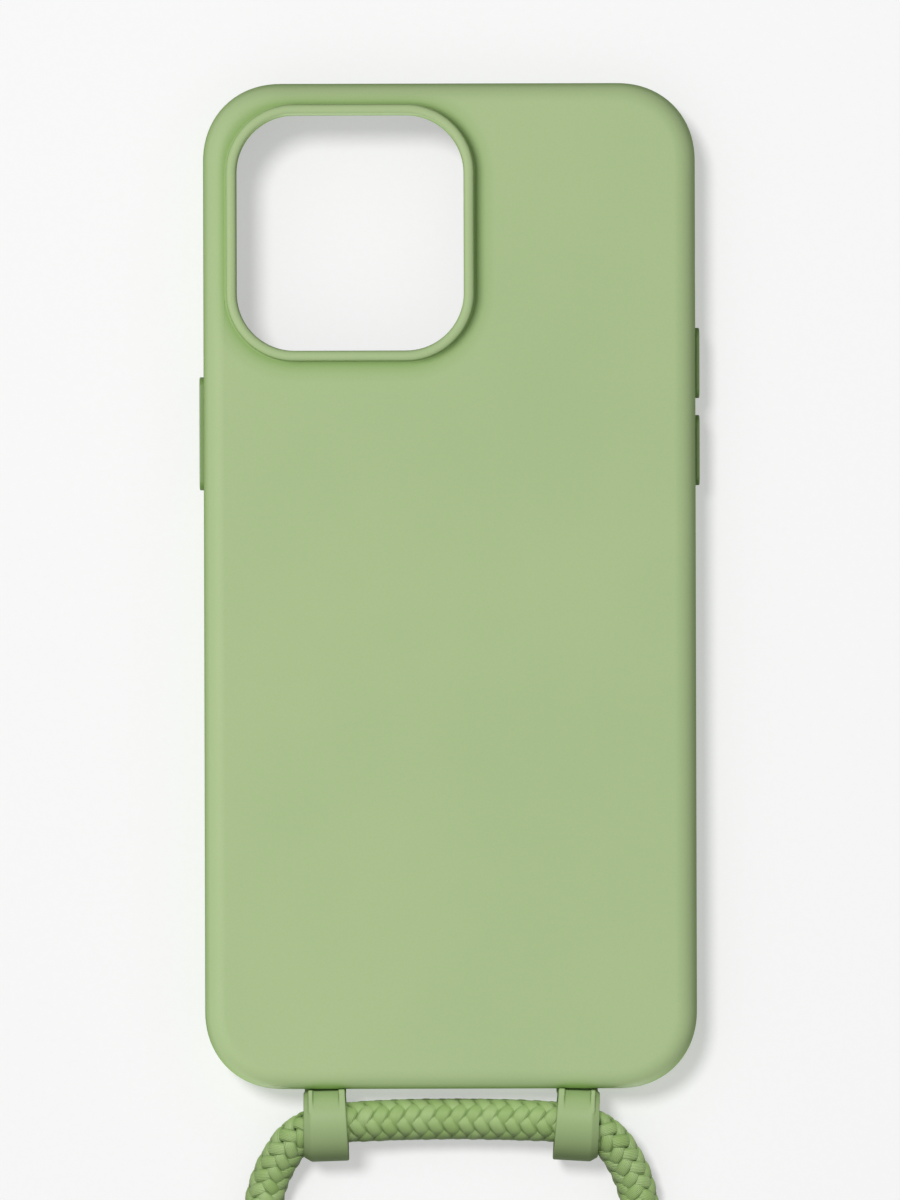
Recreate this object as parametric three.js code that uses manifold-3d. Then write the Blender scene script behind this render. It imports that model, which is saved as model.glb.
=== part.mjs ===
// Crossbody phone case: a soft silicone shell over a hard core with a microfibre lining, three
// push buttons, two cord loops at the bottom edge, and a braided cord that runs through the loops
// and is wound into a coil behind the case.
//
// Millimetres, +Z up. The case lies screen side down, so its back faces +Z and its camera end +Y.
// The origin is the bottom centre of the case with its buttons and loops, without the cord.
import * as THREE from 'three';
import { mergeVertices } from 'three/addons/utils/BufferGeometryUtils.js';
import Module from 'manifold-3d';

const wasm = await Module();
wasm.setup();

// ---------------------------------------------------------------- driving dimensions

const CASE = {
  width: 81.2, length: 165.95, height: 11.6, corner: 12.9, backEdge: 3.3, frontEdge: 1.4, y: 6.025,
};
const BOTTOM_Y = CASE.y - CASE.length / 2;
const SIDE_X = CASE.width / 2;

const SKIN = { wall: 1.0, back: 1.1, lipHeight: 1.1, lipReach: 1.6 };
const LAYER_GAP = 0.1;
const CORE = { wall: 0.6, back: 0.7, low: 1.3, windowMargin: 0.6, slotMargin: 0.3 };
const LINING = { thickness: 0.3, margin: 0.4, gap: 0.05, windowMargin: 1.5 };

const WINDOW = { width: 37.4, length: 38.8, corner: 9.5, x: -16.3, y: 64.2 };
const BEZEL = { width: 1.7, height: 2.3, edge: 0.8 };

const BUTTON = {
  height: 3.3, proud: 0.7, z: 6.2, flange: 0.5, flangeDepth: 0.35, pocketGap: 0.1, rest: 0.02,
  plungerHeight: 2.4, plungerInset: 1.5, plungerGap: 0.05,
};
const CLEARANCE = 0.3;
const BUTTONS = [
  { name: 'volume_up', side: 1, y: 42.8, length: 11.6 },
  { name: 'volume_down', side: 1, y: 28.4, length: 11.6 },
  { name: 'side', side: -1, y: 31.3, length: 18.7 },
];

const SWITCH_SLOT = { length: 8, height: 4.4, y: 58, z: 6.1 };
const PORT = { width: 13, height: 5.4, z: 5.3 };
const SPEAKER = { width: 6.5, height: 2.2, x: 12.25, z: 5.3 };

const LOOP = {
  x: 20.8, width: 7.3, radius: 6.1, bore: 4.0, mouth: 5.3, throat: 1.6, y: -82.9, z: 6.3, lean: 3.5,
  chamferWidth: 1.2, chamferDepth: 0.5, neckWidth: 6.8, neckLow: 3.4, neckHigh: 7.9,
  outerRibWidth: 0.8, innerRibWidth: 1.1, outerRibInset: 0.85, innerRibInset: 0.05, ribWallZ: 9.8,
  footWidth: 11, footLow: 1.9, footHigh: 7.9, footDepth: 0.4, footGap: 0.05, neckStart: 2,
  holeOverrun: 0.5,
};

const CORD = { radius: 3.3, floorZ: 3.35, pitch: 6.9, sides: 10, bridgeSteps: 12, runSteps: 30 };
const COIL = {
  y: -217.44, radius: 36.5, levels: 3, join: 70.7, turns: 2.63, rampStart: 1.3, sides: 48, wedgeSteps: 8,
  wedgeRoom: 8,
};
const SLIDER = {
  y: -146.5, length: 15, z: 4.4, bore: 3.6, wall: 0.75, halfGap: 4.2, endWall: 0.6, flat: 0.01,
};
const CAP = { radius: 3.9, length: 14, spread: 4.1, rounding: 0.9, edge: 0.3, gap: 1.4, sides: 16 };
const TIE = { width: 8, thickness: 1.0, slack: 0.6, floorGap: 0.05, lift: 1.3, corner: 3 };

// The right half of the cord, from inside its loop to the start of the coil. The left half
// differs only after the slider, where both bend the same way.
const RUN = [
  [21.2, -83.1, 6.3], [22.6, -83.3, 6.3], [24.2, -83.9, 6.15], [26.6, -86.0, 5.5], [28.6, -89.0, 4.5],
  [30.1, -92.2, 3.7], [31.0, -95.6, 3.4], [31.2, -99.5, 3.35], [29.9, -104.6, 3.35],
  [26.2, -109.2, 3.35], [20.8, -112.0, 3.35], [14.6, -113.7, 3.4], [9.2, -116.5, 3.7],
  [5.5, -121.3, 4.2], [4.2, -127.2, 4.4], [4.2, -134, 4.4], [4.2, -142, 4.4],
  [4.2, -150, 4.4], [4.2, -158, 4.4], [4.2, -166, 4.3],
];
const RIGHT_LEAD_IN = [
  [4.66, -170.3, 3.8], [6.43, -174.2, 3.4], [9.36, -177.5, 3.35], [13.19, -179.7, 3.35],
];
const LEFT_LEAD_IN = [
  [-2.96, -172.7, 3.7], [0.23, -178.6, 3.35], [4.97, -183.3, 3.35], [10.91, -186.2, 3.35],
];
const BRIDGE = [
  [-20.8, -83.03, 6.3], [-19, -82.78, 6.3], [-17, -82.55, 6.2], [-8, -82.2, 5.7], [0, -82.1, 5.5],
  [8, -82.2, 5.7], [17, -82.55, 6.2], [19, -82.78, 6.3], [20.8, -83.03, 6.3],
];

// A quarter circle in plan has this many straight steps; three.js takes half that number for an arc.
const ARC_STEPS = 8;
const EDGE_STEPS = 4;
const LOOP_SIDES = 28;
// How far a cutting solid runs past what it cuts.
const OVERRUN = 2;

// ---------------------------------------------------------------- materials

const green = (hex, roughness) => new THREE.MeshStandardMaterial({ color: hex, roughness, metalness: 0 });
const silicone = green(0xabbf8e, 0.6);
const hardPlastic = green(0x9db07f, 0.5);
const buttonPlastic = green(0x7f9a5c, 0.45);
const microfibre = green(0xb9c9a2, 0.95);
const loopSilicone = green(0xa3b983, 0.55);
const braid = green(0x8faa68, 0.9);
const strap = green(0x86a060, 0.95);

// ---------------------------------------------------------------- helpers

/** A three.js geometry as a boolean solid. */
function solid(geometry) {
  const bare = geometry.clone();
  bare.deleteAttribute('normal');
  bare.deleteAttribute('uv');
  const merged = mergeVertices(bare, 1e-4);
  const triVerts = Uint32Array.from(merged.index.array);
  const vertProperties = Float32Array.from(merged.attributes.position.array);
  return new wasm.Manifold(new wasm.Mesh({ numProp: 3, vertProperties, triVerts }));
}

/** A boolean solid as a three.js geometry. */
function geometryOf(manifold) {
  const mesh = manifold.getMesh();
  const geometry = new THREE.BufferGeometry();
  geometry.setAttribute('position', new THREE.Float32BufferAttribute(mesh.vertProperties, 3));
  geometry.setIndex(Array.from(mesh.triVerts));
  geometry.computeVertexNormals();
  return geometry;
}

/** A named mesh, added to the case. */
function piece(name, geometry, material) {
  const mesh = new THREE.Mesh(geometry, material);
  mesh.name = name;
  phoneCase.add(mesh);
  return mesh;
}

/** A rectangle with round corners, centred on (x, y), as a shape or as a path for a hole. */
function roundedRectangle(width, length, radius, x = 0, y = 0, outline = new THREE.Shape()) {
  const right = x + width / 2 - radius;
  const left = x - width / 2 + radius;
  const top = y + length / 2 - radius;
  const bottom = y - length / 2 + radius;
  outline.absarc(right, top, radius, 0, Math.PI / 2);
  outline.absarc(left, top, radius, Math.PI / 2, Math.PI);
  outline.absarc(left, bottom, radius, Math.PI, 1.5 * Math.PI);
  outline.absarc(right, bottom, radius, 1.5 * Math.PI, 2 * Math.PI);
  outline.closePath();
  return outline;
}

/** A straight-sided block of an outline, from low to high. */
function prism(shape, low, high, curveSegments = ARC_STEPS / 2) {
  return new THREE.ExtrudeGeometry(shape, { depth: high - low, bevelEnabled: false, curveSegments })
    .translate(0, 0, low);
}

/** A rectangular block between two corners. */
function block(from, to) {
  const size = to.map((value, axis) => value - from[axis]);
  const middle = to.map((value, axis) => (value + from[axis]) / 2);
  return new THREE.BoxGeometry(...size).translate(...middle);
}

/**
 * A block with round corners in plan and round edges: its outline at each height is the same
 * rounded rectangle, inset along a quarter circle near the bottom and near the top.
 */
function cushionBlock({ width, length, radius, x = 0, y = 0, low, high, lowEdge = 0, highEdge = 0 }) {
  const levels = [];
  for (let step = 0; lowEdge > 0 && step < EDGE_STEPS; step += 1) {
    const angle = (step / EDGE_STEPS) * (Math.PI / 2);
    levels.push({ inset: lowEdge * (1 - Math.sin(angle)), z: low + lowEdge * (1 - Math.cos(angle)) });
  }
  levels.push({ inset: 0, z: low + lowEdge }, { inset: 0, z: high - highEdge });
  for (let step = 1; highEdge > 0 && step <= EDGE_STEPS; step += 1) {
    const angle = (step / EDGE_STEPS) * (Math.PI / 2);
    levels.push({ inset: highEdge * (1 - Math.cos(angle)), z: high - highEdge * (1 - Math.sin(angle)) });
  }
  const rings = levels.map(({ inset, z }) => {
    const corner = Math.max(radius - inset, 0.4);
    const outline = roundedRectangle(width - 2 * inset, length - 2 * inset, corner, x, y);
    const points = outline.getPoints(ARC_STEPS / 2);
    if (points[0].distanceTo(points.at(-1)) < 1e-6) points.pop();
    return points.map((point) => [point.x, point.y, z]);
  });
  return loft(rings);
}

/** A closed skin through rings of equally many points, listed from the bottom up. */
function loft(rings) {
  const count = rings[0].length;
  const index = [];
  for (let ring = 0; ring + 1 < rings.length; ring += 1) {
    for (let i = 0; i < count; i += 1) {
      const a = ring * count + i;
      const b = ring * count + ((i + 1) % count);
      index.push(a, b, b + count, a, b + count, a + count);
    }
  }
  const flat = rings[0].map(([px, py]) => new THREE.Vector2(px, py));
  const lastRing = (rings.length - 1) * count;
  for (const [a, b, c] of THREE.ShapeUtils.triangulateShape(flat, [])) {
    index.push(a, c, b);
    index.push(lastRing + a, lastRing + b, lastRing + c);
  }
  const geometry = new THREE.BufferGeometry();
  geometry.setAttribute('position', new THREE.Float32BufferAttribute(rings.flat(2), 3));
  geometry.setIndex(index);
  return geometry;
}

/** The case's outline moved inwards by inset, as measures for cushionBlock. */
function caseOutline(inset) {
  return {
    width: CASE.width - 2 * inset, length: CASE.length - 2 * inset, radius: CASE.corner - inset, y: CASE.y,
  };
}

/** The camera window's outline grown by margin, from low to high. */
function windowBlock(margin, low, high) {
  const { width, length, corner, x, y } = WINDOW;
  return prism(roundedRectangle(width + 2 * margin, length + 2 * margin, corner + margin, x, y), low, high);
}

/** A slot with round ends through a side wall (side is -1 or 1), across x from inner to outer. */
function sideSlot(side, y, length, height, z, inner, outer) {
  const outline = roundedRectangle(height, length, height / 2 - 0.01);
  return prism(outline, inner, outer, 2)
    .rotateY(Math.PI / 2)
    .translate(side > 0 ? 0 : -(inner + outer), y, z);
}

/** A slot with round ends through the bottom wall. */
function bottomSlot(x, width, height, z, low, high) {
  return prism(roundedRectangle(width, height, height / 2 - 0.01), low, high, 2)
    .rotateX(Math.PI / 2)
    .translate(x, low + high, z);
}

/** A tube of the cord along a list of points. */
function cordTube(points, steps) {
  const places = points.map((point) => new THREE.Vector3(...point));
  const path = new THREE.CatmullRomCurve3(places, false, 'centripetal');
  const section = new THREE.Shape();
  section.absarc(0, 0, CORD.radius, 0, 2 * Math.PI);
  return new THREE.ExtrudeGeometry(section, { steps, extrudePath: path, curveSegments: CORD.sides / 2 });
}

/** The place on the coil after an angle travelled clockwise from where the cord joins it. */
function onCoil(travelled, radius, z) {
  const angle = THREE.MathUtils.degToRad(COIL.join) - travelled;
  return new THREE.Vector3(radius * Math.cos(angle), COIL.y + radius * Math.sin(angle), z);
}

// ---------------------------------------------------------------- the case

const phoneCase = new THREE.Group();
const wallCut = { inner: SIDE_X - 2 * OVERRUN, outer: SIDE_X + OVERRUN };
const bottomCut = { low: BOTTOM_Y - OVERRUN, high: BOTTOM_Y + 2 * OVERRUN };

/** The openings that go right through the side walls: the switch slot, the port and the speakers. */
function wallOpenings(margin) {
  const cuts = [
    sideSlot(1, SWITCH_SLOT.y, SWITCH_SLOT.length + 2 * margin, SWITCH_SLOT.height + 2 * margin,
      SWITCH_SLOT.z, wallCut.inner, wallCut.outer),
    bottomSlot(0, PORT.width + 2 * margin, PORT.height + 2 * margin, PORT.z, bottomCut.low, bottomCut.high),
  ];
  for (const side of [-1, 1]) {
    const { x, width, height, z } = SPEAKER;
    cuts.push(bottomSlot(side * x, width, height, z, bottomCut.low, bottomCut.high));
  }
  return cuts.map(solid);
}

/** The soft outer shell: walls, back, front lip and the raised bezel round the camera window. */
function makeShell() {
  let shell = solid(cushionBlock({
    ...caseOutline(0), low: 0, high: CASE.height, lowEdge: CASE.frontEdge, highEdge: CASE.backEdge,
  }));
  const { width, length, corner, x, y } = WINDOW;
  shell = shell.add(solid(cushionBlock({
    width: width + 2 * BEZEL.width, length: length + 2 * BEZEL.width, radius: corner + BEZEL.width, x, y,
    low: CASE.height - SKIN.back / 2, high: CASE.height + BEZEL.height, highEdge: BEZEL.edge,
  })));
  const hollow = cushionBlock({
    ...caseOutline(SKIN.wall), low: SKIN.lipHeight, high: CASE.height - SKIN.back,
    highEdge: CASE.backEdge - SKIN.wall,
  });
  const front = cushionBlock({
    ...caseOutline(SKIN.wall + SKIN.lipReach), low: -OVERRUN, high: SKIN.lipHeight + OVERRUN,
  });
  const bezelTop = CASE.height + BEZEL.height;
  const cuts = [
    solid(hollow), solid(front), solid(windowBlock(0, OVERRUN, bezelTop + OVERRUN)), ...wallOpenings(0),
  ];
  for (const button of BUTTONS) {
    const length = button.length + 2 * CLEARANCE;
    const height = BUTTON.height + 2 * CLEARANCE;
    const pocketFloor = SIDE_X - SKIN.wall + BUTTON.flangeDepth + BUTTON.pocketGap;
    const pocketLength = length + 2 * BUTTON.flange;
    const pocketHeight = height + 2 * BUTTON.flange;
    cuts.push(
      solid(sideSlot(button.side, button.y, length, height, BUTTON.z, wallCut.inner, wallCut.outer)),
      solid(sideSlot(
        button.side, button.y, pocketLength, pocketHeight, BUTTON.z, wallCut.inner, pocketFloor,
      )),
    );
  }
  for (const side of [-1, 1]) {
    const neckHalf = LOOP.neckWidth / 2 + CLEARANCE;
    const footHalf = LOOP.footWidth / 2 + CLEARANCE;
    cuts.push(
      solid(block([side * LOOP.x - neckHalf, bottomCut.low, LOOP.neckLow - CLEARANCE],
        [side * LOOP.x + neckHalf, bottomCut.high, LOOP.neckHigh + CLEARANCE])),
      solid(block([side * LOOP.x - footHalf, BOTTOM_Y + SKIN.wall / 2, LOOP.footLow - CLEARANCE],
        [side * LOOP.x + footHalf, bottomCut.high, LOOP.footHigh + CLEARANCE])),
    );
  }
  for (const cut of cuts) shell = shell.subtract(cut);
  return geometryOf(shell);
}

/** The hard inner core: walls and back, open at the front, with windows for the buttons. */
function makeCore() {
  const outside = SKIN.wall + LAYER_GAP;
  const top = CASE.height - SKIN.back - LAYER_GAP;
  let core = solid(cushionBlock({
    ...caseOutline(outside), low: CORE.low, high: top, highEdge: CASE.backEdge - outside,
  }));
  const hollow = cushionBlock({
    ...caseOutline(outside + CORE.wall), low: -OVERRUN, high: top - CORE.back,
    highEdge: CASE.backEdge - outside - CORE.wall,
  });
  const window = windowBlock(CORE.windowMargin, OVERRUN, CASE.height);
  const cuts = [solid(hollow), solid(window), ...wallOpenings(CORE.slotMargin)];
  for (const button of BUTTONS) {
    const length = button.length + 2 * (CLEARANCE + BUTTON.flange);
    const height = BUTTON.height + 2 * (CLEARANCE + BUTTON.flange);
    cuts.push(solid(sideSlot(button.side, button.y, length, height, BUTTON.z, wallCut.inner, wallCut.outer)));
  }
  for (const cut of cuts) core = core.subtract(cut);
  return geometryOf(core);
}

/** The microfibre sheet on the inside of the back. */
function makeLining() {
  const top = CASE.height - SKIN.back - LAYER_GAP - CORE.back - LINING.gap;
  const { width, length, radius, y } = caseOutline(CASE.backEdge + LINING.margin);
  const sheet = roundedRectangle(width, length, radius, 0, y);
  const margin = LINING.windowMargin;
  sheet.holes.push(roundedRectangle(
    WINDOW.width + 2 * margin, WINDOW.length + 2 * margin, WINDOW.corner + margin, WINDOW.x, WINDOW.y,
    new THREE.Path(),
  ));
  return prism(sheet, top - LINING.thickness, top);
}

piece('silicone_shell', makeShell(), silicone);
piece('rigid_core', makeCore(), hardPlastic);
piece('microfibre_lining', makeLining(), microfibre);

// ---------------------------------------------------------------- the buttons

for (const button of BUTTONS) {
  const flangeFace = SIDE_X - SKIN.wall + BUTTON.flangeDepth;
  const cap = solid(sideSlot(button.side, button.y, button.length, BUTTON.height, BUTTON.z,
    SIDE_X - SKIN.wall, SIDE_X + BUTTON.proud));
  const flange = solid(sideSlot(button.side, button.y, button.length + 2 * BUTTON.flange,
    BUTTON.height + 2 * BUTTON.flange, BUTTON.z, SIDE_X - SKIN.wall + BUTTON.rest, flangeFace));
  piece(`${button.name}_button`, geometryOf(cap.add(flange)), buttonPlastic);
  const plungerLength = button.length - 2 * BUTTON.plungerInset;
  const plunger = sideSlot(button.side, button.y, plungerLength, BUTTON.plungerHeight, BUTTON.z,
    SIDE_X - SKIN.wall - LAYER_GAP - CORE.wall, SIDE_X - SKIN.wall - BUTTON.plungerGap);
  piece(`${button.name}_plunger`, plunger, hardPlastic);
}

// ---------------------------------------------------------------- the cord loops

/** A solid turned about the X axis, from its outline as [x, radius] pairs. */
function turned(outline) {
  const points = outline.map(([x, radius]) => new THREE.Vector2(radius, x));
  return new THREE.LatheGeometry(points, LOOP_SIDES).rotateZ(-Math.PI / 2);
}

/** A loop: a flared ring with a chamfered outer rim, two ribs, a neck through the wall and a foot. */
function makeLoop(side) {
  const { x, y, z, width, radius, bore, mouth, throat, chamferWidth, chamferDepth } = LOOP;
  const half = width / 2;
  const rims = [[-half, radius], [half, radius]];
  const chamfer = [[side * half, radius - chamferDepth], [side * (half - chamferWidth), radius]];
  const outside = side < 0 ? [...chamfer, rims[1]] : [rims[0], ...chamfer.reverse()];
  const ring = turned([[-half, 0], ...outside, [half, 0]]);
  const reach = half + LOOP.holeOverrun;
  const slope = (mouth - bore) / (half - throat);
  const wide = bore + slope * (reach - throat);
  const hole = turned([
    [-reach, 0], [-reach, wide], [-throat, bore], [throat, bore], [reach, wide], [reach, 0],
  ]);
  const wall = BOTTOM_Y - CLEARANCE - y;
  const ribEnd = LOOP.ribWallZ - z;
  const tangentAngle = Math.atan2(wall, ribEnd) - Math.acos(radius / Math.hypot(wall, ribEnd));
  const rib = new THREE.Shape([
    new THREE.Vector2(0, 0),
    new THREE.Vector2(radius * Math.sin(tangentAngle), radius * Math.cos(tangentAngle)),
    new THREE.Vector2(wall, ribEnd), new THREE.Vector2(wall, LOOP.neckLow - z),
    new THREE.Vector2(0, LOOP.neckLow - z),
  ]);
  const lean = THREE.MathUtils.degToRad(side * LOOP.lean);
  const place = (geometry) => solid(geometry.rotateZ(-lean).translate(side * x, y, z));
  let loop = place(ring);
  for (const edge of [-1, 1]) {
    const inset = edge === side ? LOOP.outerRibInset : LOOP.innerRibInset;
    const ribWidth = edge === side ? LOOP.outerRibWidth : LOOP.innerRibWidth;
    const outer = edge * (half - inset);
    const low = Math.min(outer, outer - edge * ribWidth);
    const plate = prism(rib, low, low + ribWidth).rotateX(Math.PI / 2).rotateZ(Math.PI / 2);
    loop = loop.add(place(plate));
  }
  const neckHalf = LOOP.neckWidth / 2;
  const footHalf = LOOP.footWidth / 2;
  const footBack = BOTTOM_Y + SKIN.wall / 2 + LOOP.footGap;
  loop = loop
    .add(solid(block([side * x - neckHalf, y + LOOP.neckStart, LOOP.neckLow],
      [side * x + neckHalf, footBack + LOOP.footDepth / 2, LOOP.neckHigh])))
    .add(solid(block([side * x - footHalf, footBack, LOOP.footLow],
      [side * x + footHalf, footBack + LOOP.footDepth, LOOP.footHigh])))
    .subtract(place(hole));
  return geometryOf(loop);
}

piece('left_cord_loop', makeLoop(-1), loopSilicone);
piece('right_cord_loop', makeLoop(1), loopSilicone);

// ---------------------------------------------------------------- the cord

/** The coil's outer shape: a ring of layers two cords wide, lower where the top layer is missing. */
function makeCoil() {
  const inner = COIL.radius - CORD.pitch / 2 - CORD.radius;
  const outer = COIL.radius + CORD.pitch / 2 + CORD.radius;
  const low = CORD.floorZ - CORD.radius;
  const high = low + (COIL.levels - 1) * CORD.pitch + 2 * CORD.radius;
  const middle = (low + high) / 2;
  const profile = roundedRectangle(outer - inner, high - low, CORD.radius, (inner + outer) / 2, middle)
    .getPoints(1);
  const ring = new THREE.LatheGeometry(profile, COIL.sides).rotateX(Math.PI / 2).translate(0, COIL.y, 0);
  const topFrom = low + CORD.pitch + 2 * CORD.radius;
  const gapEnd = 2 * Math.PI - COIL.rampStart;
  const gapStart = (COIL.turns % 1) * 2 * Math.PI;
  const wedge = new THREE.Shape([new THREE.Vector2(0, COIL.y)]);
  for (let step = 0; step <= COIL.wedgeSteps; step += 1) {
    const spot = onCoil(gapStart + ((gapEnd - gapStart) * step) / COIL.wedgeSteps, outer + COIL.wedgeRoom, 0);
    wedge.lineTo(spot.x, spot.y);
  }
  const strapSlot = block([-TIE.width / 2 - CLEARANCE, COIL.y - outer - OVERRUN, -OVERRUN],
    [TIE.width / 2 + CLEARANCE, COIL.y - inner + OVERRUN, TIE.floorGap + TIE.thickness + CLEARANCE]);
  const missing = prism(wedge, topFrom, high + OVERRUN);
  return geometryOf(solid(ring).subtract(solid(missing)).subtract(solid(strapSlot)));
}

/** What the cord's two runs leave free round the coil. */
function coilClearance() {
  const outer = COIL.radius + CORD.pitch / 2 + CORD.radius + CLEARANCE;
  const height = 3 * COIL.levels * CORD.pitch;
  const cylinder = new THREE.CylinderGeometry(outer, outer, height, 2 * COIL.sides);
  return solid(cylinder.rotateX(Math.PI / 2).translate(0, COIL.y, 0));
}

/** The strap that ties the coil: a closed band round all its layers. */
function makeTie() {
  const inner = COIL.radius - CORD.pitch / 2 - CORD.radius - TIE.slack;
  const outer = COIL.radius + CORD.pitch / 2 + CORD.radius + TIE.slack;
  const low = TIE.floorGap + TIE.thickness;
  const high = CORD.floorZ + CORD.radius + (COIL.levels - 1) * CORD.pitch + TIE.lift + TIE.slack;
  const middle = (low + high) / 2;
  const across = (inner + outer) / 2;
  const band = roundedRectangle(
    outer - inner + 2 * TIE.thickness, high - low + 2 * TIE.thickness, TIE.corner, across, middle,
  );
  band.holes.push(roundedRectangle(
    outer - inner, high - low, TIE.corner - TIE.thickness, across, middle, new THREE.Path(),
  ));
  return prism(band, -TIE.width / 2, TIE.width / 2, EDGE_STEPS).rotateX(Math.PI / 2).rotateZ(-Math.PI / 2)
    .translate(0, COIL.y, 0);
}

/** The adjuster: a flat block with two bores that both halves of the cord run through. */
function makeSlider() {
  const { halfGap, bore, wall, length, endWall } = SLIDER;
  const halfHeight = bore + wall;
  const halfWidth = halfGap + halfHeight + endWall;
  const body = roundedRectangle(2 * halfWidth, 2 * halfHeight, halfHeight - SLIDER.flat);
  for (const side of [-1, 1]) {
    const hole = new THREE.Path();
    hole.absarc(side * halfGap, 0, bore, 0, 2 * Math.PI);
    body.holes.push(hole);
  }
  return prism(body, -length / 2, length / 2).rotateX(Math.PI / 2);
}

/** A crimped end cap along +Y, from its mouth to its rounded end. */
function makeEndCap() {
  const { radius, length, rounding, edge } = CAP;
  const profile = [
    new THREE.Vector2(0, 0), new THREE.Vector2(radius - edge, 0), new THREE.Vector2(radius, edge),
  ];
  for (let step = 0; step <= EDGE_STEPS; step += 1) {
    const angle = (step / EDGE_STEPS) * (Math.PI / 2);
    profile.push(new THREE.Vector2(
      radius - rounding * (1 - Math.cos(angle)), length - rounding * (1 - Math.sin(angle)),
    ));
  }
  profile.push(new THREE.Vector2(0, length));
  return new THREE.LatheGeometry(profile, CAP.sides);
}

const mirrored = ([x, y, z]) => [-x, y, z];
const clearOfCoil = coilClearance();
const cordRun = (points) => geometryOf(solid(cordTube(points, CORD.runSteps)).subtract(clearOfCoil));
piece('cord_bridge', cordTube(BRIDGE, CORD.bridgeSteps), braid);
piece('cord_right_run', cordRun([...RUN, ...RIGHT_LEAD_IN]), braid);
piece('cord_left_run', cordRun([...RUN.map(mirrored), ...LEFT_LEAD_IN]), braid);
piece('cord_coil', makeCoil(), braid);
piece('cord_tie', makeTie(), strap);
piece('cord_slider', makeSlider(), loopSilicone).position.set(0, SLIDER.y, SLIDER.z);

const capAngle = COIL.turns * 2 * Math.PI;
for (const [name, side] of [['right_end_cap', 1], ['left_end_cap', -1]]) {
  const radius = COIL.radius + side * CAP.spread;
  const half = (CAP.length / 2 + CAP.gap) / radius;
  const z = CORD.floorZ + CORD.radius + CORD.pitch + CLEARANCE + CAP.radius;
  const middle = onCoil(capAngle + half, radius, z);
  const quarterOn = onCoil(capAngle + half + Math.PI / 2, radius, z);
  const ahead = quarterOn.sub(new THREE.Vector3(0, COIL.y, z)).normalize();
  const cap = piece(name, makeEndCap(), loopSilicone);
  cap.quaternion.setFromUnitVectors(new THREE.Vector3(0, 1, 0), ahead);
  cap.position.copy(middle).addScaledVector(ahead, -CAP.length / 2);
}

export default phoneCase;
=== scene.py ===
"""The looks of a crossbody phone case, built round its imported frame.

Shapes are worked out in millimetres in the row frame, and make_mesh() turns them into metres.
"""
import math

import bmesh
import bpy
import numpy as np
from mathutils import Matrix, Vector


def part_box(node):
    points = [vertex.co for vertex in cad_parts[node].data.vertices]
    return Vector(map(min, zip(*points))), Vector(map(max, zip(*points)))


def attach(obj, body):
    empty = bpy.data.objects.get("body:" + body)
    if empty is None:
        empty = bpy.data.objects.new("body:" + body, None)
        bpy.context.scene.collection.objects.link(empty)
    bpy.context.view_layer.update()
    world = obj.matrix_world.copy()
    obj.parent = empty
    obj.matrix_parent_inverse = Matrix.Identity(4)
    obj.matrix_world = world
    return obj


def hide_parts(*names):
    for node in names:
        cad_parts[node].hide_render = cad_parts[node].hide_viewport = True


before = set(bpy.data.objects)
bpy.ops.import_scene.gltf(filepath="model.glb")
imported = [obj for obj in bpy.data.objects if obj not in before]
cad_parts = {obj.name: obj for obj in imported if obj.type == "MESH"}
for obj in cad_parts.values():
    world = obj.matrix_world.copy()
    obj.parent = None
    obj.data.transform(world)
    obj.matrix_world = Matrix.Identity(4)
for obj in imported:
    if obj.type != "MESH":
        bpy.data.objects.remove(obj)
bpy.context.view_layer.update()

MM = 0.001


def node_box(node):
    """A CAD node's lowest and highest corners, in millimetres."""
    low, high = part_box(node)
    return np.array(low) / MM, np.array(high) / MM


# ---------------------------------------------------------------- measures

SHELL_LOW, SHELL_HIGH = node_box("silicone_shell")
CASE_CENTRE = (SHELL_LOW + SHELL_HIGH) / 2
CASE_HALF = (SHELL_HIGH - SHELL_LOW) / 2
CASE_CORNER = 12.9
BEZEL_HEIGHT = 2.3
BACK_Z = SHELL_HIGH[2] - BEZEL_HEIGHT
SIDE_X = CASE_HALF[0]
BOTTOM_Y = SHELL_LOW[1]
CROWN = 3.6

SKIN_WALL = 1.0
SKIN_BACK = 1.1
LIP_HEIGHT = 1.1
LIP_REACH = 1.6
LIP_SOFT = 0.35
FRONT_EDGE = 1.4
WALL_MIDDLE = 5.0
CORE_GAP = 0.1
CORE_WALL = 0.6
CORE_BACK = 0.7

WINDOW_CENTRE = np.array([-16.3, 64.2])
WINDOW_HALF = np.array([18.7, 19.4])
WINDOW_CORNER = 9.5
BEZEL_WIDTH = 1.7

SWITCH_SLOT = {"y": 58.0, "z": 6.1, "length": 8.0, "height": 4.4}
PORT = {"z": 5.3, "length": 13.0, "height": 5.4}
SPEAKER = {"x": 12.25, "z": 5.3, "length": 6.5, "height": 2.2}

CORD_RADIUS = 3.3
FLOOR_Z = 3.35
LAYER_PITCH = 6.9


# ---------------------------------------------------------------- mesh helpers

def linked_object(name, data):
    """A scene object that holds this data."""
    obj = bpy.data.objects.new(name, data)
    bpy.context.scene.collection.objects.link(obj)
    return obj


def smooth_object(name, mesh):
    """A smooth-shaded object from a bmesh, which is freed."""
    data = bpy.data.meshes.new(name)
    mesh.to_mesh(data)
    mesh.free()
    data.polygons.foreach_set("use_smooth", [True] * len(data.polygons))
    return linked_object(name, data)


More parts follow.
